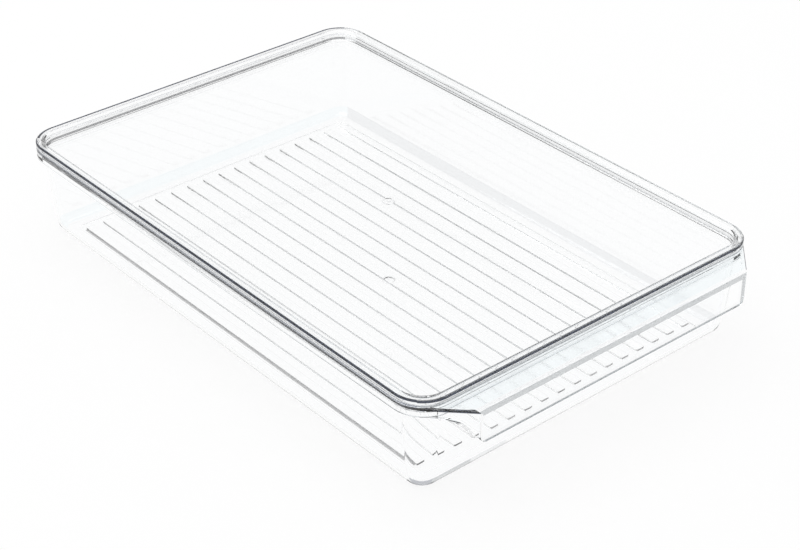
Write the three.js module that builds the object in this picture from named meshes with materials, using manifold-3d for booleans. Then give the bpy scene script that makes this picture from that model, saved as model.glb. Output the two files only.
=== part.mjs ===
// Lidded fridge organizer: a shallow clear tray with a pull handle, and a lid that lifts straight off.
// Millimetres, +Z up. The handle faces -Y, the base rests on Z = 0, and the origin is the middle of
// the whole outline, handle included.
import * as THREE from 'three';
import * as BufferGeometryUtils from 'three/addons/utils/BufferGeometryUtils.js';
import Module from 'manifold-3d';

const wasm = await Module();
wasm.setup();

// Rim outline, shared by the tray and the lid
const rimWidth = 250;
const rimLength = 366;
const rimCorner = 19;

// Lid
const skirtHeight = 4.4;
const skirtWall = 1.7;
const grooveWidth = 1.5;
const grooveDepth = 2.6;
const plugWall = 2;
const panelDrop = 6;
const panelThickness = 2;
const lidEdge = 0.5;
const recessFillet = 1;

// Tray
const trayHeight = 58.6;
const wall = 2.2;
const floorThickness = 2.2;
const bottomFillet = 7;
const wallInsetTop = 3.6;
const wallInsetBottom = 8.1;
const seatClearance = 0.3;
const seatGap = 0.4;
const ledgeThickness = 2;
const trayEdge = 0.4;
const footInset = 20.5;
const footCorner = 4;
const footRecess = 0.6;

// Round moulding marks in the middle of the panel and under the floor
const markRadius = 3.8;
const markHeight = 0.4;
const markForward = 12;

// Raised bands on the floor
const bandPitch = 12.43;
const bandWidth = 6.2;
const bandHeight = 0.9;
const bandCorner = 1.2;
const bandEndMargin = 11.9;
const bandSideMargin = 7;

// Handle
const handleReach = 16;
const handleDrop = 20.6;
const handleWall = 2.2;
const foldRadius = 3;
const handleEndRadius = 3;
const apronCorner = 4;
const returnSetback = 0.3;
const returnLength = 11;

// Least corner radius of an inner outline, and overrun of the cuts past the faces that they cut
const leastCorner = 0.4;
const cutMargin = 5;

// Facets and shares
const cornerSteps = 8;
const filletSteps = 5;
const markSteps = 24;
const bandCornerSteps = 2;
const endSteps = 4;
const returnBendShare = 0.2;
const returnRiseShare = 0.8;

// Heights and insets that follow from the values above
const seatDepth = panelDrop + panelThickness - skirtHeight + seatGap;
const plugInset = skirtWall + grooveWidth;
const recessInset = plugInset + plugWall;
const lidTop = trayHeight + skirtHeight;
const ledgeTop = trayHeight - seatDepth;
const ledgeUnder = ledgeTop - ledgeThickness;
const seatInset = plugInset - seatClearance;
const frameShift = handleReach / 2;
const floorInset = wallInsetBottom + bottomFillet;
const bandLength = rimLength - (floorInset + bandEndMargin) * 2;
const bandRoom = (rimWidth - bandWidth) / 2 - floorInset - bandSideMargin;
const bandsEachSide = Math.floor(bandRoom / bandPitch);

function roundedRect(halfX, halfY, radius, steps = cornerSteps) {
  const quarter = Math.PI / 2;
  const centres = [
    [halfX - radius, halfY - radius],
    [radius - halfX, halfY - radius],
    [radius - halfX, radius - halfY],
    [halfX - radius, radius - halfY],
  ];
  const points = [];
  centres.forEach(([x, y], corner) => {
    const arc = new THREE.EllipseCurve(x, y, radius, radius, corner * quarter, (corner + 1) * quarter);
    points.push(...arc.getPoints(steps));
  });
  return points;
}

// Outline that lies a given distance inside the rim, with corners round the same centres
function rimOutline(inset) {
  const radius = Math.max(rimCorner - inset, leastCorner);
  return roundedRect(rimWidth / 2 - inset, rimLength / 2 - inset, radius);
}

function solid(geometry) {
  const bare = geometry.clone();
  bare.deleteAttribute('normal');
  bare.deleteAttribute('uv');
  const welded = BufferGeometryUtils.mergeVertices(bare);
  const mesh = new wasm.Mesh({
    numProp: 3,
    vertProperties: new Float32Array(welded.attributes.position.array),
    triVerts: new Uint32Array(welded.index.array),
  });
  return new wasm.Manifold(mesh);
}

function geometryOf(manifold) {
  const mesh = manifold.getMesh();
  const geometry = new THREE.BufferGeometry();
  geometry.setAttribute('position', new THREE.BufferAttribute(mesh.vertProperties, mesh.numProp));
  geometry.setIndex(new THREE.BufferAttribute(mesh.triVerts, 1));
  geometry.computeVertexNormals();
  return geometry;
}

// Closed skin through a stack of rings, each an inset from the rim at a height, first to last
function skin(levels) {
  const rings = levels.map(([inset, z]) => rimOutline(inset).map((p) => [p.x, p.y, z]));
  const count = rings[0].length;
  const positions = rings.flat(2);
  const index = [];
  for (let level = 0; level + 1 < rings.length; level += 1) {
    for (let i = 0; i < count; i += 1) {
      const next = (i + 1) % count;
      const a = level * count + i;
      const b = level * count + next;
      index.push(a, b, b + count, a, b + count, a + count);
    }
  }
  const last = (rings.length - 1) * count;
  for (let i = 1; i + 1 < count; i += 1) {
    index.push(0, i + 1, i);
    index.push(last, last + i, last + i + 1);
  }
  const geometry = new THREE.BufferGeometry();
  geometry.setAttribute('position', new THREE.Float32BufferAttribute(positions, 3));
  geometry.setIndex(index);
  return geometry;
}

function prism(points, height) {
  return new THREE.ExtrudeGeometry(new THREE.Shape(points), { depth: height, bevelEnabled: false });
}

// Prism whose outline is drawn in the side view: first number along Y, second along Z
function sidePrism(points, width) {
  const geometry = prism(points, width);
  geometry.rotateX(Math.PI / 2);
  geometry.rotateZ(Math.PI / 2);
  geometry.translate(-width / 2, 0, 0);
  return geometry;
}

// Prism whose outline is drawn in the front view: first number along X, second along Z
function frontPrism(points, nearY, farY) {
  const geometry = prism(points, farY - nearY);
  geometry.rotateX(Math.PI / 2);
  geometry.translate(0, farY, 0);
  return geometry;
}

function filletLevels(inset, z, radius, from, to) {
  const arc = new THREE.EllipseCurve(inset, z, radius, radius, from, to, to < from);
  return arc.getPoints(filletSteps).map((p) => [p.x, p.y]);
}

// Tray walls, seat for the lid and floor, as one run of rings from under the base to the floor
function trayLevels() {
  const down = -Math.PI / 2;
  const outside = filletLevels(floorInset, bottomFillet, bottomFillet, down, -Math.PI);
  const innerRadius = bottomFillet - wall;
  const inside = filletLevels(floorInset, floorThickness + innerRadius, innerRadius, -Math.PI, down);
  return [
    ...outside,
    [wallInsetTop, ledgeUnder],
    [trayEdge, ledgeUnder],
    [0, ledgeUnder + trayEdge],
    [0, trayHeight - trayEdge],
    [trayEdge, trayHeight],
    [seatInset, trayHeight],
    [seatInset, ledgeTop],
    [wallInsetTop + wall, ledgeTop],
    ...inside,
  ];
}

function footHollow() {
  const outline = roundedRect(rimWidth / 2 - footInset, rimLength / 2 - footInset, footCorner);
  const hollow = prism(outline, footRecess + cutMargin);
  hollow.translate(0, 0, -cutMargin);
  return hollow;
}

function floorBand(place) {
  const outline = roundedRect(bandWidth / 2, bandLength / 2, bandCorner, bandCornerSteps);
  const band = prism(outline, bandHeight + floorThickness / 2);
  band.translate(place * bandPitch, 0, floorThickness / 2);
  return band;
}

// The handle is a hood on the rim: a flat top, an apron in front and a short return at each end.
// Its ends leave the rim's corners along their 45 degree tangents and meet the apron in a round.
function hoodPlan(inset) {
  const front = rimLength / 2 + handleReach - inset;
  const touch = rimCorner * Math.SQRT1_2;
  const back = rimLength / 2 - rimCorner + touch;
  const backHalf = rimWidth / 2 - rimCorner + touch - inset * Math.SQRT2;
  const radius = handleEndRadius - inset;
  const straightHalf = backHalf + back - front - radius * Math.tan(Math.PI / 8);
  const down = -Math.PI / 2;
  const outline = new THREE.Shape();
  outline.moveTo(backHalf, -back);
  outline.lineTo(-backHalf, -back);
  outline.absarc(-straightHalf, radius - front, radius, down - Math.PI / 4, down, false);
  outline.absarc(straightHalf, radius - front, radius, down, down + Math.PI / 4, false);
  return outline.getPoints(endSteps);
}

function hoodSide(front) {
  const low = trayHeight - handleDrop;
  const outline = new THREE.Shape();
  outline.moveTo(0, low);
  outline.lineTo(0, trayHeight);
  outline.lineTo(foldRadius - front, trayHeight);
  outline.absarc(foldRadius - front, trayHeight - foldRadius, foldRadius, Math.PI / 2, Math.PI, false);
  outline.lineTo(-front, low);
  return outline.getPoints(filletSteps);
}

// Space below the curved lower edge of the handle's two ends
function returnCut(front) {
  const low = trayHeight - handleDrop;
  const rise = ledgeUnder - low;
  const startY = handleWall + returnSetback - front;
  const bendY = startY + returnLength * returnBendShare;
  const outline = new THREE.Shape();
  outline.moveTo(startY, low - cutMargin);
  outline.lineTo(startY, low);
  outline.quadraticCurveTo(bendY, low + rise * returnRiseShare, startY + returnLength, ledgeUnder);
  outline.lineTo(0, ledgeUnder);
  outline.lineTo(0, low - cutMargin);
  return outline.getPoints(filletSteps);
}

function apronCornerCut(side, frontHalf) {
  const low = trayHeight - handleDrop;
  const centre = frontHalf - apronCorner;
  const outline = new THREE.Shape();
  outline.moveTo(frontHalf + cutMargin, low - cutMargin);
  outline.lineTo(frontHalf + cutMargin, low + apronCorner);
  outline.lineTo(frontHalf, low + apronCorner);
  outline.absarc(centre, low + apronCorner, apronCorner, 0, -Math.PI / 2, true);
  outline.lineTo(centre, low - cutMargin);
  return outline.getPoints(filletSteps).map((p) => new THREE.Vector2(side * p.x, p.y));
}

function handleHood() {
  const front = rimLength / 2 + handleReach;
  const fullWidth = rimWidth + cutMargin;
  const frontHalf = rimWidth / 2 - rimCorner * (2 - Math.SQRT2) - handleReach;
  const plan = solid(prism(hoodPlan(0), trayHeight));
  const hollow = solid(prism(hoodPlan(handleWall), trayHeight - handleWall));
  const withinRim = solid(prism(rimOutline(seatInset / 2), trayHeight + cutMargin));
  let hood = plan.intersect(solid(sidePrism(hoodSide(front), fullWidth)));
  hood = hood.subtract(hollow).subtract(withinRim);
  hood = hood.subtract(solid(sidePrism(returnCut(front), fullWidth)));
  for (const side of [-1, 1]) {
    const nearY = -front - cutMargin;
    hood = hood.subtract(solid(frontPrism(apronCornerCut(side, frontHalf), nearY, cutMargin - front)));
  }
  return hood;
}

// Low disc that stands out of a plate by markHeight and is sunk in it by half a panel
function mouldingMark(low) {
  const thickness = markHeight + panelThickness / 2;
  const mark = new THREE.CylinderGeometry(markRadius, markRadius, thickness, markSteps);
  mark.rotateX(Math.PI / 2);
  mark.translate(0, -markForward, low + thickness / 2);
  return mark;
}

function trayGeometry() {
  let tray = solid(skin(trayLevels())).subtract(solid(footHollow()));
  for (let place = -bandsEachSide; place <= bandsEachSide; place += 1) {
    tray = tray.add(solid(floorBand(place)));
  }
  return geometryOf(tray.add(handleHood()).add(solid(mouldingMark(footRecess - markHeight))));
}

// Lid rim, plug and sunk panel, as one run of rings from under the panel to its top
function lidLevels() {
  const panelTop = lidTop - panelDrop;
  const panelUnder = panelTop - panelThickness;
  return [
    [plugInset + lidEdge, panelUnder],
    [plugInset, panelUnder + lidEdge],
    [plugInset, trayHeight + grooveDepth],
    [skirtWall, trayHeight + grooveDepth],
    [skirtWall, trayHeight],
    [0, trayHeight],
    [0, lidTop - lidEdge],
    [lidEdge, lidTop],
    [recessInset - lidEdge, lidTop],
    [recessInset, lidTop - lidEdge],
    [recessInset, panelTop + recessFillet],
    [recessInset + recessFillet, panelTop],
  ];
}

function lidGeometry() {
  const markLow = lidTop - panelDrop - panelThickness / 2;
  return geometryOf(solid(skin(lidLevels())).add(solid(mouldingMark(markLow))));
}

function clearPlastic() {
  return new THREE.MeshStandardMaterial({
    color: new THREE.Color(0.93, 0.95, 0.97),
    roughness: 0.06,
    metalness: 0,
    transparent: true,
    opacity: 0.3,
  });
}

function piece(name, geometry) {
  geometry.translate(0, frameShift, 0);
  const mesh = new THREE.Mesh(geometry, clearPlastic());
  mesh.name = name;
  return mesh;
}

const group = new THREE.Group();
group.add(piece('tray', trayGeometry()));
group.add(piece('lid', lidGeometry()));

export default group;
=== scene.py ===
"""Looks for the lidded fridge organizer: a clear tray with a handle and a clear lift-off lid."""

import math

import bmesh
import bpy
from mathutils import Matrix, Vector
from mathutils.geometry import tessellate_polygon


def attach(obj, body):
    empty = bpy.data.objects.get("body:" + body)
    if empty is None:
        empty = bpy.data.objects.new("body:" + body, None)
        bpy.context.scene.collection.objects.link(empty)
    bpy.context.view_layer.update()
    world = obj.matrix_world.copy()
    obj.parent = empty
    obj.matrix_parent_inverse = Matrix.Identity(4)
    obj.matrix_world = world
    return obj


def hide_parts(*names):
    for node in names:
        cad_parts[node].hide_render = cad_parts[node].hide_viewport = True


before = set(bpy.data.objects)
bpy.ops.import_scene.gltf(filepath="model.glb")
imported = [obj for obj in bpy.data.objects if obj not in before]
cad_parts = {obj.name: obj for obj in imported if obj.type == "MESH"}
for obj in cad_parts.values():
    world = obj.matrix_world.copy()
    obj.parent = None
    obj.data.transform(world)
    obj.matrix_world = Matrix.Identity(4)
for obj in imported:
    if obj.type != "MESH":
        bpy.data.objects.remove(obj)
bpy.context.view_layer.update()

# The part's sizes are in millimetres, those of the camera and the stage in metres
MM = 0.001

# The sizes from here to the handle are the same as in the part's source
# Rim that the tray and the lid share
RIM_WIDTH = 250
RIM_LENGTH = 366
RIM_CORNER = 19

# Lid
SKIRT_HEIGHT = 4.4
SKIRT_WALL = 1.7
GROOVE_WIDTH = 1.5
GROOVE_DEPTH = 2.6
PLUG_WALL = 2
PANEL_DROP = 6
PANEL_THICKNESS = 2

# Tray
TRAY_HEIGHT = 58.6
WALL = 2.2
FLOOR_THICKNESS = 2.2
BOTTOM_FILLET = 7
WALL_INSET_TOP = 3.6
WALL_INSET_BOTTOM = 8.1
SEAT_CLEARANCE = 0.3
SEAT_GAP = 0.4
LEDGE_THICKNESS = 2
FOOT_INSET = 20.5
FOOT_CORNER = 4
FOOT_RECESS = 0.6

# Raised bands on the tray's floor
BAND_PITCH = 12.43
BAND_WIDTH = 6.2
BAND_HEIGHT = 0.9
BAND_CORNER = 1.2
BAND_LENGTH = 312
BANDS_EACH_SIDE = 8

# Moulding marks of both pieces
MARK_RADIUS = 3.8
MARK_FORWARD = 12

# Handle
HANDLE_REACH = 16
HANDLE_DROP = 20.6
HANDLE_WALL = 2.2
HANDLE_END_RADIUS = 3
FOLD_RADIUS = 3
APRON_CORNER = 4
RETURN_SETBACK = 0.3
RETURN_LENGTH = 11
RETURN_BEND = 0.2
RETURN_RISE = 0.8

# Places that follow from the sizes
PLUG_INSET = SKIRT_WALL + GROOVE_WIDTH
RECESS_INSET = PLUG_INSET + PLUG_WALL
LID_TOP = TRAY_HEIGHT + SKIRT_HEIGHT
PANEL_TOP = LID_TOP - PANEL_DROP
PANEL_UNDER = PANEL_TOP - PANEL_THICKNESS
LEDGE_TOP = PANEL_UNDER - SEAT_GAP
LEDGE_UNDER = LEDGE_TOP - LEDGE_THICKNESS
SEAT_INSET = PLUG_INSET - SEAT_CLEARANCE
FLOOR_INSET = WALL_INSET_BOTTOM + BOTTOM_FILLET
HANDLE_FRONT = RIM_LENGTH / 2 + HANDLE_REACH
HANDLE_LOW = TRAY_HEIGHT - HANDLE_DROP
APRON_HALF = RIM_WIDTH / 2 - RIM_CORNER * (2 - math.sqrt(2)) - HANDLE_REACH
FRAME_SHIFT = HANDLE_REACH / 2

# Small rounds and bevels that only the visual meshes have
SMALLEST_CORNER = 0.4
LID_ROUND = 0.8
RECESS_ROUND = 1.2
PANEL_ROUND = 1
SKIRT_ROUND = 0.3
SKIRT_BEVEL = 0.25
GROOVE_BEVEL = 0.2
RIM_ROUND = 0.3
RIM_FOOT_ROUND = 0.5
SEAT_BEVEL = 0.2
LEDGE_BEVEL = 0.3
LEDGE_DRAFT = 0.05
FOLD_INNER_ROUND = 1.2
HANDLE_EDGE = 0.7
# Inset from the wall's inner face and height over the ledge
LEDGE_EDGE = ((-0.4, 0), (-0.1, -0.1), (0.04, -0.4))
# Inset from the band's side and depth below its top
BAND_EDGE = ((0, 0.3), (0.1, 0.1), (0.3, 0))
# Flat margin on the floor round the two outermost bands
BAND_MARGIN = 1.2
# The bands' ends are slightly staggered, because ends in one line gave the floor flat triangles
BAND_STAGGER = 0.002
STAGGER_SHIFT = 0.25

# The lid stands this far over the tray's rim, so that no faces lie in one plane
CONTACT_GAP = 0.06
# The hood and the tray's rim run this far into each other before they become one
OVERLAP = 0.04
HOOD_TOP = TRAY_HEIGHT - OVERLAP / 2
# Cutting tools reach past what they cut
OVERRUN = 5
BLOCK_OVERRUN = 1

# Steps of the rounds
CORNER_STEPS = 20
FILLET_STEPS = 5
LID_ROUND_STEPS = 6
LID_ROUND_LOW_STEPS = 4
RECESS_STEPS = 6
SKIRT_STEPS = 3
RIM_STEPS = 4
BOTTOM_STEPS = 12
FLOOR_STEPS = 10
FOOT_STEPS = 6
BAND_STEPS = 4
MARK_STEPS = 40
ARC_STEPS = 8
FOLD_INNER_STEPS = 5
HANDLE_EDGE_STEPS = 4
RETURN_STEPS = 10

# Numbers of the plain plastic and its painted shades, in the order of the table below
PLAIN, DARK_SHADE, SLATE_SHADE, GREY_SHADE, MID_SHADE, SOFT_SHADE, LINE_SHADE, HAZY_SHADE, PALE_SHADE = range(9)
# Numbers of the edges, whose painted shade differs from side to side
EDGE_UNDER, EDGE_LOW, EDGE_TOP, TOP_LINE, SKIRT, HIDDEN = range(10, 16)
RECESS, RECESS_TOP, BAND_SIDE, BORDER, BASE = range(16, 21)

# Clear plastic, then its painted shades, darker or paler strips that stand in for the shade that
# refraction gives the edges: end of the name, colour, roughness, strength of the ripples
PLASTICS_AND_SHADES = (
    ("", (0.995, 0.998, 1.0), 0.03, 0.05),
    ("_dark", (0.003, 0.004, 0.008), 0.05, 0.0),
    ("_joint", (0.26, 0.275, 0.31), 0.05, 0.0),
    ("_grey", (0.17, 0.17, 0.175), 0.05, 0.0),
    ("_fold", (0.41, 0.43, 0.44), 0.05, 0.0),
    ("_soft", (0.62, 0.65, 0.68), 0.05, 0.0),
    ("_line", (0.77, 0.785, 0.80), 0.05, 0.0),
    ("_hazy", (0.97, 0.98, 0.98), 0.3, 0.0),
    ("_tint", (0.91, 0.975, 0.995), 0.12, 0.05),
)

# The dark edge lines are painted shade: narrow strips of darker plastic stand in for the shade that
# refraction gives the edges
# The painted shade of each edge on the left, the front, the back and the right; the sides differ as lit
# and shaded sides do
EDGE_SHADES = {
    EDGE_UNDER: (PLAIN, DARK_SHADE, PLAIN, PLAIN),
    EDGE_LOW: (DARK_SHADE, DARK_SHADE, PLAIN, PLAIN),
    EDGE_TOP: (DARK_SHADE, GREY_SHADE, PLAIN, PLAIN),
    TOP_LINE: (PLAIN, PLAIN, DARK_SHADE, MID_SHADE),
    SKIRT: (SLATE_SHADE, MID_SHADE, PLAIN, PLAIN),
    RECESS: (PLAIN, PLAIN, GREY_SHADE, LINE_SHADE),
    RECESS_TOP: (HAZY_SHADE, HAZY_SHADE, PLAIN, PLAIN),
    HIDDEN: (SOFT_SHADE, SOFT_SHADE, PLAIN, PLAIN),
    BAND_SIDE: (GREY_SHADE, LINE_SHADE, LINE_SHADE, MID_SHADE),
    BORDER: (PLAIN, PLAIN, PALE_SHADE, LINE_SHADE),
}

# Widths of the strips of painted shade
SKIRT_LINE = 1.4
RIM_LINE = 1.2
UNDER_EDGE_LINE = 0.4
TOP_LINE_WIDTH = 1.4
END_LINE = 1.2
FOLD_LINE = 0.6
APRON_LINE = 1.6
APRON_EDGE = 2

# Section of a moulding mark: radius, height, plastic of the strip that leads to it; the line strips are
# painted shade round the mark's rims
MARK_SECTION = (
    (MARK_RADIUS, 0, PLAIN),
    (MARK_RADIUS - 0.25, 0.3, LINE_SHADE),
    (MARK_RADIUS - 0.9, 0.3, PLAIN),
    (MARK_RADIUS - 1.2, 0.05, LINE_SHADE),
    (0.9, 0, PLAIN),
    (0.5, 0.12, LINE_SHADE),
)

# The bands' painted shade lines stop this far before their front ends; faces are told apart there with
# the margin
BAND_FADE = 32
FADE_MARGIN = 1
# A band's faces shorter than this are those of its ends
SHORT_FACE = 2
# The faces of a band's side and its rounded edge lie within this distance of the side
SIDE_DEPTH = 0.35
# Steps of the bottom round that carry the painted shade line at the foot of the front wall
BASE_LEVELS = range(4, 10)
# This painted shade line turns lighter at the first place along X and stops at the second
BASE_FADES = (-80, -55)
# Share of the rim's length or width past which a face is in the front wall or the left corner
BASE_REACH = 0.42

# Parts of a unit normal that tell the handle's faces apart
UPRIGHT = 0.1
LEVEL = 0.999
ROUND_LOW = 0.2
ROUND_HIGH = 0.98
TOWARDS_SIDE = 0.5
TOWARDS_FRONT = 0.5
FOLD_NORMAL = 0.7
APRON_NORMAL = 0.9
# How far behind the rim's front the painted dark shade of the handle's edges and the painted pale shade
# of its top begin
EDGE_START = 3
TOP_START = 0.5
# The faces of the apron's right edge have their centres past this place along X
END_FACE_MARGIN = 1.5
END_FACE_X = APRON_HALF - APRON_EDGE - END_FACE_MARGIN

# Shading
SHARP_ANGLE = math.radians(40)
FLAT_WEIGHT = 80
BOUNCES = 32
OTHER_BOUNCES = 16

# Clear plastic
REFRACTION = 1.49
FLOW_SCALE = 9
FLOW_DETAIL = 2
FLOW_STRETCH = (1.0, 0.45, 1.0)
RIPPLE_DEPTH = 0.002
HAZE_SCALE = 38
HAZE_DETAIL = 4
HAZE_RANGE = (0.35, 0.75)
HAZE_SHARES = (0.4, 1.6)
TINT_SHARE = 0.992

# Light and stage
WHITE = (1, 1, 1, 1)
FLOOR_COLOUR = (0.9, 0.9, 0.9, 1)
FLOOR_GLOW = 0.91
FLOOR_GLOW_BEHIND = 0.975
FLOOR_HALF = 4.0
# The floor lies this far down, so that it isn't in one plane with the tray's underside
FLOOR_DROP = 0.0002
WORLD_LIGHT = 0.75
LAMP_PLACE = (-0.1, 0.35, 1.5)
LAMP_SIZE = 1.4
LAMP_POWER = 11

# Camera, fitted to the photograph
CAMERA_PLACE = (-0.6284, -0.7517, 0.6295)
CAMERA_RIGHT = (0.7611, -0.6486, 0.0)
CAMERA_UP = (0.3489, 0.4094, 0.8430)
CAMERA_LENS = 87.89
CAMERA_SENSOR = 36


def arc(cx, cy, radius, start, end, steps=ARC_STEPS):
    """Points round an arc, angles in degrees."""
    angles = [math.radians(start + (end - start) * i / steps) for i in range(steps + 1)]
    return [(cx + radius * math.cos(a), cy + radius * math.sin(a)) for a in angles]


def circle(radius, cx, cy):
    return arc(cx, cy, radius, 0, 360, MARK_STEPS)[:-1]


def rounded_rect(half_x, half_y, radius, steps=CORNER_STEPS):
    """Outline round the origin, from the right back corner to the left one and on."""
    points = []
    corners = [(1, 1), (-1, 1), (-1, -1), (1, -1)]
    for quarter, (sx, sy) in enumerate(corners):
        start = 90 * quarter
        points += arc(sx * (half_x - radius), sy * (half_y - radius), radius, start, start + 90, steps)
    return points


def rim_outline(inset):
    radius = max(RIM_CORNER - inset, SMALLEST_CORNER)
    return rounded_rect(RIM_WIDTH / 2 - inset, RIM_LENGTH / 2 - inset, radius)


def outlines(section):
    """Turns a section's insets into outlines of the rim."""
    return [(rim_outline(inset), z, material) for inset, z, material in section]


def fillet(inset, z, radius, start, end, material, steps=FILLET_STEPS):
    """Levels of a section round an arc, angles in degrees."""
    points = arc(inset, z, radius, start, end, steps)
    return [(*point, material) for point in points]


def after_plain(levels):
    """The strip that leads to the first level becomes a plain one."""
    inset, z, _ = levels[0]
    return [(inset, z, PLAIN), *levels[1:]]


class Shell:
    """Collects rings and caps of one closed mesh, with a material number for each face."""

    def __init__(self):
        self.vertices = []
        self.faces = []
        self.materials = []

    def ring(self, points):
        start = len(self.vertices)
        self.vertices += points
        return list(range(start, len(self.vertices)))

    def strip(self, low, high, material=PLAIN):
        count = len(low)
        for i in range(count):
            j = (i + 1) % count
            self.faces.append((low[i], low[j], high[j], high[i]))
            self.materials.append(material)

    def loft(self, levels):
        """levels are (outline, z, material of the strip that leads to it)."""
        rings = []
        for outline, z, material in levels:
            rings.append(self.ring([(x, y, z) for x, y in outline]))
            if len(rings) > 1:
                self.strip(rings[-2], rings[-1], material)
        return rings

    def cap(self, outer, holes=()):
        """Closes a ring with one face, or with triangles where it has holes."""
        loops = [outer, *holes]
        flat = [i for loop in loops for i in loop]
        faces = [range(len(flat))]
        if holes:
            faces = tessellate_polygon([[Vector(self.vertices[i]) for i in loop] for loop in loops])
        for face in faces:
            self.faces.append(tuple(flat[i] for i in face))
            self.materials.append(PLAIN)

    def build(self, name):
        """Object of this mesh, moved from the rim's middle to the frame's."""
        mesh = bpy.data.meshes.new(name)
        shifted = [(x * MM, (y + FRAME_SHIFT) * MM, z * MM) for x, y, z in self.vertices]
        mesh.from_pydata(shifted, [], self.faces)
        mesh.polygons.foreach_set("material_index", self.materials)
        obj = bpy.data.objects.new(name, mesh)
        bpy.context.collection.objects.link(obj)
        turn_faces_out(obj)
        return obj


def turn_faces_out(obj):
    bm = bmesh.new()
    bm.from_mesh(obj.data)
    bmesh.ops.recalc_face_normals(bm, faces=bm.faces)
    bm.to_mesh(obj.data)
    bm.free()
    obj.data.update()


def cut_across(obj):
    """Cuts the tray's bottom round across, so that its painted shade can change along the front."""
    bm = bmesh.new()
    bm.from_mesh(obj.data)
    for x in BASE_FADES:
        faces = [face for face in bm.faces if face.material_index == BASE]
        edges = {edge for face in faces for edge in face.edges}
        corners = {corner for face in faces for corner in face.verts}
        parts = [*faces, *edges, *corners]
        bmesh.ops.bisect_plane(bm, geom=parts, plane_co=(x * MM, 0, 0), plane_no=(1, 0, 0))
    bm.to_mesh(obj.data)
    bm.free()


def side_shade(edge, x, y):
    """Painted shade of an edge at a place that is given in shares of the rim's width and length."""
    left, front, back, right = EDGE_SHADES[edge]
    if abs(x) > abs(y):
        return left if x < 0 else right
    return front if y < 0 else back


def base_line_shade(x, y):
    """Plastic of the painted shade line at the foot of the front wall, which fades away from the left
    corner.
    """
    if y >= -BASE_REACH or x >= BASE_FADES[1] / RIM_WIDTH:
        return PLAIN
    if x < -BASE_REACH:
        return SLATE_SHADE
    return MID_SHADE if x < BASE_FADES[0] / RIM_WIDTH else LINE_SHADE


def paint_edge_shades(obj):
    """Turns the numbers of edges into numbers of their painted shades."""
    for face in obj.data.polygons:
        x = face.center.x / MM / RIM_WIDTH
        y = (face.center.y / MM - FRAME_SHIFT) / RIM_LENGTH
        if face.material_index == BASE:
            face.material_index = base_line_shade(x, y)
        elif face.material_index in EDGE_SHADES:
            face.material_index = side_shade(face.material_index, x, y)


def round_mark(shell, base_z, up):
    """A low ring round the moulding mark, with its own small cap; returns the ring on the plate."""
    levels = []
    for radius, height, material in MARK_SECTION:
        levels.append((circle(radius, 0, -MARK_FORWARD), base_z + up * height, material))
    rings = shell.loft(levels)
    shell.cap(rings[-1])
    return rings[0]


def lid_section():
    """Levels from the plug's foot through the groove and over the skirt down to the panel."""
    skirt_low = TRAY_HEIGHT + CONTACT_GAP
    groove_top = TRAY_HEIGHT + GROOVE_DEPTH
    edge_low = LID_TOP - LID_ROUND
    levels = fillet(PLUG_INSET + LID_ROUND, PANEL_UNDER + LID_ROUND, LID_ROUND, -90, -180, HIDDEN)
    levels += [
        (PLUG_INSET, groove_top - GROOVE_BEVEL, PLAIN),
        (PLUG_INSET - GROOVE_BEVEL, groove_top, HIDDEN),
        (SKIRT_WALL + GROOVE_BEVEL, groove_top, PLAIN),
        (SKIRT_WALL, groove_top - GROOVE_BEVEL, HIDDEN),
        (SKIRT_WALL, skirt_low + SKIRT_BEVEL, PLAIN),
        (SKIRT_WALL - SKIRT_BEVEL, skirt_low, HIDDEN),
    ]
    levels += fillet(SKIRT_ROUND, skirt_low + SKIRT_ROUND, SKIRT_ROUND, -90, -180, HIDDEN, SKIRT_STEPS)
    levels += [
        (0, skirt_low + SKIRT_LINE, SKIRT),
        (0, edge_low - 2 * UNDER_EDGE_LINE, PLAIN),
        (0, edge_low - UNDER_EDGE_LINE, EDGE_UNDER),
    ]
    outer = fillet(LID_ROUND, edge_low, LID_ROUND, 180, 90, EDGE_LOW, LID_ROUND_STEPS)
    levels += outer[:LID_ROUND_LOW_STEPS]
    levels += [(inset, z, EDGE_TOP) for inset, z, _ in outer[LID_ROUND_LOW_STEPS:]]
    levels += [(LID_ROUND + TOP_LINE_WIDTH, LID_TOP, TOP_LINE)]
    inset = RECESS_INSET - RECESS_ROUND
    top_round = fillet(inset, LID_TOP - RECESS_ROUND, RECESS_ROUND, 90, 0, RECESS_TOP, RECESS_STEPS)
    inset = RECESS_INSET + PANEL_ROUND
    foot_round = fillet(inset, PANEL_TOP + PANEL_ROUND, PANEL_ROUND, 180, 270, RECESS)
    return levels + after_plain(top_round) + after_plain(foot_round)


def make_lid():
    shell = Shell()
    rings = shell.loft(outlines(lid_section()))
    shell.cap(rings[0])
    shell.cap(rings[-1], [round_mark(shell, PANEL_TOP, 1)])
    obj = shell.build("lid_shell")
    paint_edge_shades(obj)
    return obj


def band_half_length(place):
    return BAND_LENGTH / 2 - BAND_STAGGER * (place + STAGGER_SHIFT) ** 2


def band_outline(place, inset):
    """The long sides of a band have one more point, where their line stops."""
    half_width = BAND_WIDTH / 2 - inset
    half_length = band_half_length(place)
    fade_y = BAND_FADE - half_length
    points = rounded_rect(half_width, half_length - inset, BAND_CORNER - inset, BAND_STEPS)
    middle = len(points) // 2
    points = [*points[:middle], (-half_width, fade_y), *points[middle:], (half_width, fade_y)]
    return [(place * BAND_PITCH + x, y) for x, y in points]


def band_shade(place, xs, ys, material):
    """Painted shade of a band's face: its ends are plain, and so is the front of an inner band."""
    outermost = abs(place) == BANDS_EACH_SIDE
    side_x = abs(place) * BAND_PITCH + BAND_WIDTH / 2
    in_front = max(ys) < BAND_FADE - band_half_length(place) + FADE_MARGIN
    if max(ys) - min(ys) < SHORT_FACE or (in_front and not outermost):
        return PLAIN
    if outermost and min(abs(x) for x in xs) > side_x - SIDE_DEPTH:
        return BAND_SIDE
    return material


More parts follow.
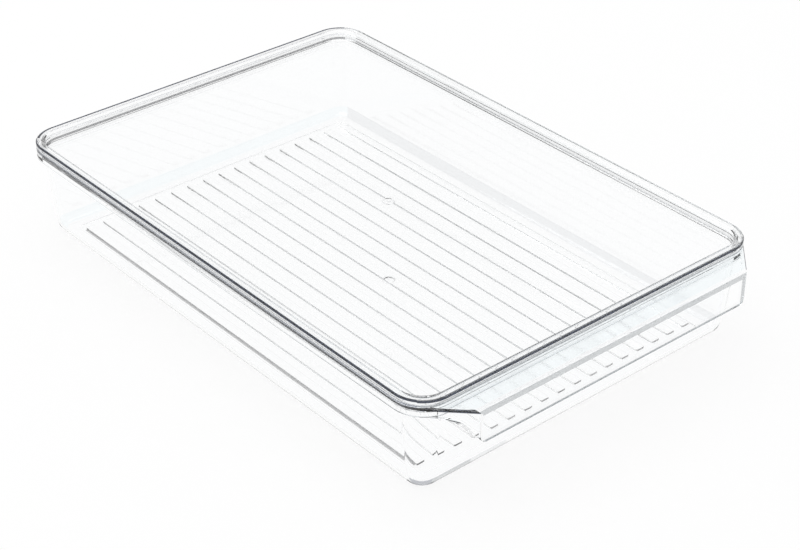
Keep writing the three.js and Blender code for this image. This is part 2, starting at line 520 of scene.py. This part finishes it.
def floor_band(shell, place):
    """One raised band of the floor; returns its lowest ring."""
    top = FLOOR_THICKNESS + BAND_HEIGHT
    levels = [(band_outline(place, 0), FLOOR_THICKNESS, PLAIN)]
    # The band's rounded top edge is painted line shade
    levels += [(band_outline(place, inset), top - depth, LINE_SHADE) for inset, depth in BAND_EDGE]
    if abs(place) == BANDS_EACH_SIDE:
        levels = [(band_outline(place, -BAND_MARGIN), FLOOR_THICKNESS, PLAIN), *levels]
    first = len(shell.faces)
    rings = shell.loft(levels)
    for i in range(first, len(shell.faces)):
        xs, ys, _ = zip(*(shell.vertices[corner] for corner in shell.faces[i]))
        shell.materials[i] = band_shade(place, xs, ys, shell.materials[i])
    shell.cap(rings[-1])
    return rings[0]


def tray_section():
    """Levels from under the floor up the outside, over the rim and down the inside to the floor."""
    levels = fillet(FLOOR_INSET, BOTTOM_FILLET, BOTTOM_FILLET, -90, -180, PLAIN, BOTTOM_STEPS)
    # These steps carry the painted shade line at the foot of the front wall
    for step in BASE_LEVELS:
        inset, z, _ = levels[step]
        levels[step] = (inset, z, BASE)
    levels += [
        (WALL_INSET_TOP + LEDGE_DRAFT, LEDGE_UNDER - LEDGE_BEVEL, PLAIN),
        (WALL_INSET_TOP - LEDGE_BEVEL, LEDGE_UNDER, HIDDEN),
    ]
    foot_z = LEDGE_UNDER + RIM_FOOT_ROUND
    levels += after_plain(fillet(RIM_FOOT_ROUND, foot_z, RIM_FOOT_ROUND, -90, -180, HIDDEN))
    levels += [(0, TRAY_HEIGHT - RIM_LINE, PLAIN)]
    levels += fillet(RIM_ROUND, TRAY_HEIGHT - RIM_ROUND, RIM_ROUND, 180, 90, SKIRT, RIM_STEPS)
    levels += [
        (SEAT_INSET - SEAT_BEVEL, TRAY_HEIGHT, PLAIN),
        (SEAT_INSET, TRAY_HEIGHT - SEAT_BEVEL, HIDDEN),
        (SEAT_INSET, LEDGE_TOP + LEDGE_BEVEL, PLAIN),
        (SEAT_INSET + LEDGE_BEVEL, LEDGE_TOP, HIDDEN),
    ]
    edge = [(WALL_INSET_TOP + WALL + inset, LEDGE_TOP + height, HIDDEN) for inset, height in LEDGE_EDGE]
    inner = BOTTOM_FILLET - WALL
    floor_round = fillet(FLOOR_INSET, FLOOR_THICKNESS + inner, inner, -180, -90, BORDER, FLOOR_STEPS)
    return levels + after_plain(edge) + after_plain(floor_round)


def make_tray():
    shell = Shell()
    rings = shell.loft(outlines(tray_section()))
    foot = rounded_rect(RIM_WIDTH / 2 - FOOT_INSET, RIM_LENGTH / 2 - FOOT_INSET, FOOT_CORNER, FOOT_STEPS)
    foot_rings = shell.loft([(foot, 0, PLAIN), (foot, FOOT_RECESS, PLAIN)])
    shell.cap(rings[0], [foot_rings[0]])
    shell.cap(foot_rings[1], [round_mark(shell, FOOT_RECESS, -1)])
    bands = [floor_band(shell, place) for place in range(-BANDS_EACH_SIDE, BANDS_EACH_SIDE + 1)]
    shell.cap(rings[-1], bands)
    obj = shell.build("tray_shell")
    cut_across(obj)
    paint_edge_shades(obj)
    return obj


def prism(outline, along, ends, name):
    """Prism between two ends along X, Y or Z (0, 1 or 2); its outline is drawn on the other two."""
    shell = Shell()
    rings = []
    for end in ends:
        rings.append(shell.ring([(*point[:along], end, *point[along:]) for point in outline]))
    shell.strip(*rings)
    for ring in rings:
        shell.cap(ring)
    return shell.build(name)


def side_prism(outline, name):
    """Prism from side to side, wider than the part."""
    wide = RIM_WIDTH / 2 + OVERRUN
    return prism(outline, 0, (-wide, wide), name)


def cut(obj, tool, operation):
    """Boolean of obj with tool, applied; the tool is deleted."""
    modifier = obj.modifiers.new("cut", "BOOLEAN")
    modifier.operation = operation
    modifier.solver = "EXACT"
    modifier.object = tool
    graph = bpy.context.evaluated_depsgraph_get()
    mesh = bpy.data.meshes.new_from_object(obj.evaluated_get(graph))
    obj.modifiers.clear()
    obj.data = mesh
    bpy.data.objects.remove(tool)


def hood_plan(inset):
    """The hood from above: its ends leave the rim's corners at 45 degrees."""
    front = HANDLE_FRONT - inset
    touch = RIM_CORNER * math.sqrt(0.5)
    back = RIM_LENGTH / 2 - RIM_CORNER + touch
    back_half = RIM_WIDTH / 2 - RIM_CORNER + touch - inset * math.sqrt(2)
    radius = HANDLE_END_RADIUS - inset
    straight_half = back_half + back - front - radius * math.tan(math.pi / 8)
    points = [(back_half, -back), (-back_half, -back)]
    points += arc(-straight_half, radius - front, radius, -135, -90)
    # One more point, so that the apron's right edge is a face of its own, for its painted shade
    points.append((straight_half - APRON_EDGE, -front))
    return points + arc(straight_half, radius - front, radius, -90, -45)


def make_hood_block():
    """The hood's outside, filled, with its rounded upper edge and its fold."""
    levels = [
        (hood_plan(0), HANDLE_LOW - BLOCK_OVERRUN, PLAIN),
        (hood_plan(0), HOOD_TOP - HANDLE_EDGE - END_LINE, PLAIN),
    ]
    edge_z = HOOD_TOP - HANDLE_EDGE
    for inset, z, material in fillet(HANDLE_EDGE, edge_z, HANDLE_EDGE, 180, 90, PLAIN, HANDLE_EDGE_STEPS):
        levels.append((hood_plan(inset), z, material))
    levels.append((hood_plan(HANDLE_EDGE), HOOD_TOP + BLOCK_OVERRUN, PLAIN))
    shell = Shell()
    rings = shell.loft(levels)
    shell.cap(rings[0])
    shell.cap(rings[-1])
    hood = shell.build("hood")

    fold_z = HOOD_TOP - FOLD_RADIUS
    side = [(0, HANDLE_LOW), (0, HOOD_TOP)]
    side += arc(FOLD_RADIUS - HANDLE_FRONT, fold_z, FOLD_RADIUS, 90, 180)
    for z in (fold_z - FOLD_LINE, HANDLE_LOW + APRON_LINE, HANDLE_LOW):
        side.append((-HANDLE_FRONT, z))
    cut(hood, side_prism(side, "side"), "INTERSECT")
    return hood


def hollow_hood(hood):
    """Takes out the room for the fingers, and what would lie inside the tray's rim."""
    low = HANDLE_LOW - OVERRUN
    inner_front = HANDLE_FRONT - HANDLE_WALL
    inner_top = TRAY_HEIGHT - HANDLE_WALL
    hollow = prism(hood_plan(HANDLE_WALL), 2, (low, inner_top), "hollow")
    radius = FOLD_INNER_ROUND
    inside = [(0, low), (0, inner_top)]
    inside += arc(radius - inner_front, inner_top - radius, radius, 90, 180, FOLD_INNER_STEPS)
    inside += [(-inner_front, low)]
    cut(hollow, side_prism(inside, "inside"), "INTERSECT")
    cut(hood, hollow, "DIFFERENCE")
    within = prism(rim_outline(SEAT_INSET / 2), 2, (low, TRAY_HEIGHT + OVERRUN), "within")
    cut(hood, within, "DIFFERENCE")


def curve_between(start, bend, end):
    """Points of a smooth curve from start to end that leans towards bend."""
    points = []
    for i in range(RETURN_STEPS + 1):
        t = i / RETURN_STEPS
        shares = ((1 - t) ** 2, 2 * t * (1 - t), t * t)
        points.append(tuple(
            shares[0] * a + shares[1] * b + shares[2] * c
            for a, b, c in zip(start, bend, end)
        ))
    return points


def cut_returns(hood):
    """Cuts the hood's two ends back in a curve below the ledge."""
    low = HANDLE_LOW - OVERRUN
    high = LEDGE_UNDER + OVERLAP
    start_y = HANDLE_WALL + RETURN_SETBACK - HANDLE_FRONT
    bend = (start_y + RETURN_LENGTH * RETURN_BEND, HANDLE_LOW + (LEDGE_UNDER - HANDLE_LOW) * RETURN_RISE)
    curve = curve_between((start_y, HANDLE_LOW), bend, (start_y + RETURN_LENGTH, high))
    cut(hood, side_prism([(start_y, low), *curve, (0, high), (0, low)], "returns"), "DIFFERENCE")


def cut_apron_corners(hood):
    """Rounds the apron's two lower corners."""
    low = HANDLE_LOW - OVERRUN
    outside = APRON_HALF + OVERRUN
    centre_x = APRON_HALF - APRON_CORNER
    centre_z = HANDLE_LOW + APRON_CORNER
    corner = [(outside, low), (outside, centre_z)]
    corner += arc(centre_x, centre_z, APRON_CORNER, 0, -90)
    corner += [(centre_x, low)]
    ends = (-HANDLE_FRONT - OVERRUN, OVERRUN - HANDLE_FRONT)
    for side in (-1, 1):
        mirrored = [(side * x, z) for x, z in corner]
        cut(hood, prism(mirrored, 1, ends, "corner"), "DIFFERENCE")


def make_hood():
    hood = make_hood_block()
    hollow_hood(hood)
    cut_returns(hood)
    cut_apron_corners(hood)
    return hood


def handle_shade(place, normal, material):
    """Painted shade of a face of the handle: its ends, fold, apron edges and flat top have their own."""
    x, y, z = place
    nx, ny, nz = normal
    rim_y = -RIM_LENGTH / 2
    upright = abs(nz) < UPRIGHT
    on_round = z > TRAY_HEIGHT - HANDLE_EDGE and ROUND_LOW < nz < ROUND_HIGH and abs(nx) > UPRIGHT
    below_round = z > TRAY_HEIGHT - HANDLE_EDGE - END_LINE and upright and abs(nx) > TOWARDS_SIDE
    # Painted dark shade on the round of the handle's upper edge and the ends just below it, near the
    # rim's front
    if y < rim_y + EDGE_START and ny < 0 and (on_round or below_round):
        return DARK_SHADE
    # Painted mid shade on the fold, the apron's low edge and its right edge
    fold = z > TRAY_HEIGHT - FOLD_RADIUS - FOLD_LINE and ny < -FOLD_NORMAL
    apron_low = z < HANDLE_LOW + APRON_LINE and ny < -APRON_NORMAL
    apron_right = x > END_FACE_X and upright and ny < -TOWARDS_FRONT
    if y < FOLD_RADIUS - HANDLE_FRONT and (fold or apron_low or apron_right):
        return MID_SHADE
    # Painted pale shade on the handle's flat top
    if y < rim_y + TOP_START and nz > LEVEL:
        return PALE_SHADE
    return material


def paint_handle_shades(obj):
    for face in obj.data.polygons:
        x, y, z = face.center / MM
        place = (x, y - FRAME_SHIFT, z)
        face.material_index = handle_shade(place, face.normal, face.material_index)


def soften(obj):
    """Smooth shading that keeps flat faces flat."""
    obj.data.shade_smooth()
    obj.data.set_sharp_from_angle(angle=SHARP_ANGLE)
    weighted = obj.modifiers.new("flat_faces", "WEIGHTED_NORMAL")
    weighted.keep_sharp = True
    weighted.weight = FLAT_WEIGHT


def node(tree, kind, **values):
    """New node; the values are those of its inputs, or of itself."""
    made = tree.nodes.new(kind)
    for key, value in values.items():
        if key in made.inputs:
            made.inputs[key].default_value = value
        else:
            setattr(made, key, value)
    return made


def clear_plastic(name, colour, roughness, ripple):
    """Clear moulded plastic, with the colour of a painted shade strip where it is one: faint ripples from
    the mould's flow, fine haze, faint change of tint.
    """
    material = bpy.data.materials.new(name)
    material.use_nodes = True
    tree = material.node_tree
    link = tree.links.new
    shader = tree.nodes["Principled BSDF"]
    shader.inputs["Transmission Weight"].default_value = 1.0
    shader.inputs["IOR"].default_value = REFRACTION
    coordinates = node(tree, "ShaderNodeTexCoord")

    flow = node(tree, "ShaderNodeTexNoise", Scale=FLOW_SCALE, Detail=FLOW_DETAIL)
    stretch = node(tree, "ShaderNodeMapping", Scale=FLOW_STRETCH)
    link(coordinates.outputs["Object"], stretch.inputs["Vector"])
    link(stretch.outputs["Vector"], flow.inputs["Vector"])
    bump = node(tree, "ShaderNodeBump", Strength=ripple, Distance=RIPPLE_DEPTH)
    link(flow.outputs["Fac"], bump.inputs["Height"])
    link(bump.outputs["Normal"], shader.inputs["Normal"])

    haze = node(tree, "ShaderNodeTexNoise", Scale=HAZE_SCALE, Detail=HAZE_DETAIL)
    link(coordinates.outputs["Object"], haze.inputs["Vector"])
    spread = node(tree, "ShaderNodeMapRange")
    ends = (*HAZE_RANGE, *[roughness * share for share in HAZE_SHARES])
    for key, value in zip(("From Min", "From Max", "To Min", "To Max"), ends):
        spread.inputs[key].default_value = value
    link(haze.outputs["Fac"], spread.inputs["Value"])
    link(spread.outputs["Result"], shader.inputs["Roughness"])

    tint = node(tree, "ShaderNodeValToRGB")
    low, high = tint.color_ramp.elements
    low.color = (*[part * TINT_SHARE for part in colour], 1)
    high.color = (*colour, 1)
    link(flow.outputs["Fac"], tint.inputs["Fac"])
    link(tint.outputs["Color"], shader.inputs["Base Color"])
    return material


def background_rays(tree, direct=1.0, indirect=1.0):
    """Share of white for rays to the background, straight or by way of the plastic."""
    link = tree.links.new
    path = node(tree, "ShaderNodeLightPath")
    bent = node(tree, "ShaderNodeMath", operation="MAXIMUM")
    link(path.outputs["Is Glossy Ray"], bent.inputs[0])
    link(path.outputs["Is Transmission Ray"], bent.inputs[1])
    shares = []
    for output, share in ((path.outputs["Is Camera Ray"], direct), (bent.outputs[0], indirect)):
        scaled = node(tree, "ShaderNodeMath", operation="MULTIPLY")
        scaled.inputs[1].default_value = share
        link(output, scaled.inputs[0])
        shares.append(scaled.outputs[0])
    total = node(tree, "ShaderNodeMath", operation="MAXIMUM")
    link(shares[0], total.inputs[0])
    link(shares[1], total.inputs[1])
    return total.outputs[0]


def floor_material():
    """White to the eye and through the plastic, but it keeps the shadow."""
    material = bpy.data.materials.new("floor")
    material.use_nodes = True
    tree = material.node_tree
    tree.nodes.clear()
    link = tree.links.new
    output = node(tree, "ShaderNodeOutputMaterial")
    matt = node(tree, "ShaderNodeBsdfDiffuse", Color=FLOOR_COLOUR)
    glow = node(tree, "ShaderNodeEmission", Color=WHITE)
    both = node(tree, "ShaderNodeMixShader")
    link(background_rays(tree, FLOOR_GLOW, FLOOR_GLOW_BEHIND), both.inputs["Fac"])
    link(matt.outputs[0], both.inputs[1])
    link(glow.outputs[0], both.inputs[2])
    link(both.outputs[0], output.inputs["Surface"])
    return material


def make_floor():
    mesh = bpy.data.meshes.new("floor")
    corners = [(sx * FLOOR_HALF, sy * FLOOR_HALF, 0) for sx, sy in ((-1, -1), (1, -1), (1, 1), (-1, 1))]
    mesh.from_pydata(corners, [], [(0, 1, 2, 3)])
    mesh.materials.append(floor_material())
    floor = bpy.data.objects.new("floor", mesh)
    floor.location.z = -FLOOR_DROP
    bpy.context.collection.objects.link(floor)


def make_world():
    """White to the eye and through the plastic, and a little darker as a light."""
    world = bpy.data.worlds.new("studio")
    bpy.context.scene.world = world
    world.use_nodes = True
    tree = world.node_tree
    back = tree.nodes["Background"]
    strength = node(tree, "ShaderNodeMapRange")
    strength.inputs["To Min"].default_value = WORLD_LIGHT
    strength.inputs["To Max"].default_value = 1.0
    tree.links.new(background_rays(tree), strength.inputs["Value"])
    tree.links.new(strength.outputs["Result"], back.inputs["Strength"])
    back.inputs["Color"].default_value = WHITE


def make_lamp():
    """One soft lamp overhead that looks at the frame's origin."""
    data = bpy.data.lights.new("overhead", "AREA")
    data.shape = "SQUARE"
    data.size = LAMP_SIZE
    data.energy = LAMP_POWER
    lamp = bpy.data.objects.new("overhead", data)
    lamp.location = LAMP_PLACE
    lamp.rotation_euler = (-Vector(LAMP_PLACE)).to_track_quat("-Z", "Y").to_euler()
    bpy.context.collection.objects.link(lamp)


def make_camera():
    data = bpy.data.cameras.new("camera")
    data.sensor_fit = "HORIZONTAL"
    data.sensor_width = CAMERA_SENSOR
    data.lens = CAMERA_LENS
    camera = bpy.data.objects.new("camera", data)
    right = Vector(CAMERA_RIGHT).normalized()
    back = right.cross(Vector(CAMERA_UP).normalized()).normalized()
    up = back.cross(right)
    turn = Matrix((right, up, back)).transposed().to_4x4()
    camera.matrix_world = Matrix.Translation(CAMERA_PLACE) @ turn
    bpy.context.collection.objects.link(camera)
    bpy.context.scene.camera = camera


make_camera()
make_world()
make_floor()
make_lamp()

# Plain clear plastic and its painted shade strips
plastics_and_shades = [clear_plastic("clear_plastic" + ending, *looks) for ending, *looks in PLASTICS_AND_SHADES]
lid = make_lid()
tray = make_tray()
hood = make_hood()
for obj in (lid, tray, hood):
    for plastic in plastics_and_shades:
        obj.data.materials.append(plastic)
cut(tray, hood, "UNION")
# The handle's faces get their painted shades
paint_handle_shades(tray)

for obj, body in ((lid, "lid"), (tray, "tray")):
    soften(obj)
    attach(obj, body)
    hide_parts(body)

scene = bpy.context.scene
scene.view_settings.view_transform = "Standard"
scene.cycles.max_bounces = BOUNCES
scene.cycles.transmission_bounces = BOUNCES
scene.cycles.glossy_bounces = OTHER_BOUNCES
scene.cycles.transparent_max_bounces = OTHER_BOUNCES
